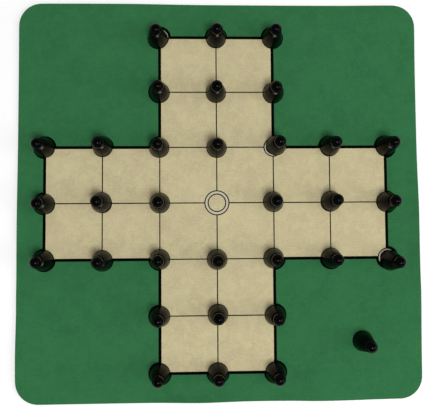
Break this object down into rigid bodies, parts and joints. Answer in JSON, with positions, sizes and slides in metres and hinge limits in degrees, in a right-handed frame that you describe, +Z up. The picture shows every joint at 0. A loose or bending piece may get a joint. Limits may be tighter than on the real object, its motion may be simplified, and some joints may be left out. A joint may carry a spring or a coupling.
{
  "type": "peg solitaire board",
  "caption": "Thin flexible play mat with rounded corners, printed with a cross of ringed points and grid lines, and the loose black pawns that stand on the points.",
  "frame": {"origin": "middle of the mat's underside, which is the surface it rests on", "axes": "+X along the mat's longer side, columns a to g; +Y away from the player, rows 1 to 7; +Z up, out of the printed face"},
  "size_m": [0.25, 0.2476, 0.0261],
  "materials": {
    "backing_rubber": "matte",
    "green_cloth": "matte",
    "cream_ink": "matte",
    "black_ink": "matte",
    "pale_ink": "matte",
    "pawn_plastic": "gloss"
  },
  "bodies": {
    "mat": {"rubber_backing": "backing_rubber", "green_face": "green_cloth", "cream_print": "cream_ink", "line_print": "black_ink", "ring_print": "pale_ink"},
    "pawn_c1": {"pawn_c1": "pawn_plastic"},
    "pawn_d1": {"pawn_d1": "pawn_plastic"},
    "pawn_e1": {"pawn_e1": "pawn_plastic"},
    "pawn_c2": {"pawn_c2": "pawn_plastic"},
    "pawn_d2": {"pawn_d2": "pawn_plastic"},
    "pawn_e2": {"pawn_e2": "pawn_plastic"},
    "pawn_a3": {"pawn_a3": "pawn_plastic"},
    "pawn_b3": {"pawn_b3": "pawn_plastic"},
    "pawn_c3": {"pawn_c3": "pawn_plastic"},
    "pawn_d3": {"pawn_d3": "pawn_plastic"},
    "pawn_e3": {"pawn_e3": "pawn_plastic"},
    "pawn_f3": {"pawn_f3": "pawn_plastic"},
    "pawn_g3": {"pawn_g3": "pawn_plastic"},
    "pawn_a4": {"pawn_a4": "pawn_plastic"},
    "pawn_b4": {"pawn_b4": "pawn_plastic"},
    "pawn_c4": {"pawn_c4": "pawn_plastic"},
    "pawn_e4": {"pawn_e4": "pawn_plastic"},
    "pawn_f4": {"pawn_f4": "pawn_plastic"},
    "pawn_g4": {"pawn_g4": "pawn_plastic"},
    "pawn_a5": {"pawn_a5": "pawn_plastic"},
    "pawn_b5": {"pawn_b5": "pawn_plastic"},
    "pawn_c5": {"pawn_c5": "pawn_plastic"},
    "pawn_d5": {"pawn_d5": "pawn_plastic"},
    "pawn_e5": {"pawn_e5": "pawn_plastic"},
    "pawn_f5": {"pawn_f5": "pawn_plastic"},
    "pawn_g5": {"pawn_g5": "pawn_plastic"},
    "pawn_c6": {"pawn_c6": "pawn_plastic"},
    "pawn_d6": {"pawn_d6": "pawn_plastic"},
    "pawn_e6": {"pawn_e6": "pawn_plastic"},
    "pawn_c7": {"pawn_c7": "pawn_plastic"},
    "pawn_d7": {"pawn_d7": "pawn_plastic"},
    "pawn_e7": {"pawn_e7": "pawn_plastic"},
    "pawn_set_aside": {"pawn_set_aside": "pawn_plastic"}
  },
  "joints": [
    {"name": "lift_c1", "type": "slide", "parent": "mat", "child": "pawn_c1", "axis": [0, 0, 1], "range_m": [0, 0.04]},
    {"name": "lift_d1", "type": "slide", "parent": "mat", "child": "pawn_d1", "axis": [0, 0, 1], "range_m": [0, 0.04]},
    {"name": "lift_e1", "type": "slide", "parent": "mat", "child": "pawn_e1", "axis": [0, 0, 1], "range_m": [0, 0.04]},
    {"name": "lift_c2", "type": "slide", "parent": "mat", "child": "pawn_c2", "axis": [0, 0, 1], "range_m": [0, 0.04]},
    {"name": "lift_d2", "type": "slide", "parent": "mat", "child": "pawn_d2", "axis": [0, 0, 1], "range_m": [0, 0.04]},
    {"name": "lift_e2", "type": "slide", "parent": "mat", "child": "pawn_e2", "axis": [0, 0, 1], "range_m": [0, 0.04]},
    {"name": "lift_a3", "type": "slide", "parent": "mat", "child": "pawn_a3", "axis": [0, 0, 1], "range_m": [0, 0.04]},
    {"name": "lift_b3", "type": "slide", "parent": "mat", "child": "pawn_b3", "axis": [0, 0, 1], "range_m": [0, 0.04]},
    {"name": "lift_c3", "type": "slide", "parent": "mat", "child": "pawn_c3", "axis": [0, 0, 1], "range_m": [0, 0.04]},
    {"name": "lift_d3", "type": "slide", "parent": "mat", "child": "pawn_d3", "axis": [0, 0, 1], "range_m": [0, 0.04]},
    {"name": "lift_e3", "type": "slide", "parent": "mat", "child": "pawn_e3", "axis": [0, 0, 1], "range_m": [0, 0.04]},
    {"name": "lift_f3", "type": "slide", "parent": "mat", "child": "pawn_f3", "axis": [0, 0, 1], "range_m": [0, 0.04]},
    {"name": "lift_g3", "type": "slide", "parent": "mat", "child": "pawn_g3", "axis": [0, 0, 1], "range_m": [0, 0.04]},
    {"name": "lift_a4", "type": "slide", "parent": "mat", "child": "pawn_a4", "axis": [0, 0, 1], "range_m": [0, 0.04]},
    {"name": "lift_b4", "type": "slide", "parent": "mat", "child": "pawn_b4", "axis": [0, 0, 1], "range_m": [0, 0.04]},
    {"name": "lift_c4", "type": "slide", "parent": "mat", "child": "pawn_c4", "axis": [0, 0, 1], "range_m": [0, 0.04]},
    {"name": "lift_e4", "type": "slide", "parent": "mat", "child": "pawn_e4", "axis": [0, 0, 1], "range_m": [0, 0.04]},
    {"name": "lift_f4", "type": "slide", "parent": "mat", "child": "pawn_f4", "axis": [0, 0, 1], "range_m": [0, 0.04]},
    {"name": "lift_g4", "type": "slide", "parent": "mat", "child": "pawn_g4", "axis": [0, 0, 1], "range_m": [0, 0.04]},
    {"name": "lift_a5", "type": "slide", "parent": "mat", "child": "pawn_a5", "axis": [0, 0, 1], "range_m": [0, 0.04]},
    {"name": "lift_b5", "type": "slide", "parent": "mat", "child": "pawn_b5", "axis": [0, 0, 1], "range_m": [0, 0.04]},
    {"name": "lift_c5", "type": "slide", "parent": "mat", "child": "pawn_c5", "axis": [0, 0, 1], "range_m": [0, 0.04]},
    {"name": "lift_d5", "type": "slide", "parent": "mat", "child": "pawn_d5", "axis": [0, 0, 1], "range_m": [0, 0.04]},
    {"name": "lift_e5", "type": "slide", "parent": "mat", "child": "pawn_e5", "axis": [0, 0, 1], "range_m": [0, 0.04]},
    {"name": "lift_f5", "type": "slide", "parent": "mat", "child": "pawn_f5", "axis": [0, 0, 1], "range_m": [0, 0.04]},
    {"name": "lift_g5", "type": "slide", "parent": "mat", "child": "pawn_g5", "axis": [0, 0, 1], "range_m": [0, 0.04]},
    {"name": "lift_c6", "type": "slide", "parent": "mat", "child": "pawn_c6", "axis": [0, 0, 1], "range_m": [0, 0.04]},
    {"name": "lift_d6", "type": "slide", "parent": "mat", "child": "pawn_d6", "axis": [0, 0, 1], "range_m": [0, 0.04]},
    {"name": "lift_e6", "type": "slide", "parent": "mat", "child": "pawn_e6", "axis": [0, 0, 1], "range_m": [0, 0.04]},
    {"name": "lift_c7", "type": "slide", "parent": "mat", "child": "pawn_c7", "axis": [0, 0, 1], "range_m": [0, 0.04]},
    {"name": "lift_d7", "type": "slide", "parent": "mat", "child": "pawn_d7", "axis": [0, 0, 1], "range_m": [0, 0.04]},
    {"name": "lift_e7", "type": "slide", "parent": "mat", "child": "pawn_e7", "axis": [0, 0, 1], "range_m": [0, 0.04]},
    {"name": "lift_set_aside", "type": "slide", "parent": "mat", "child": "pawn_set_aside", "axis": [0, 0, 1], "range_m": [0, 0.04]}
  ]
}
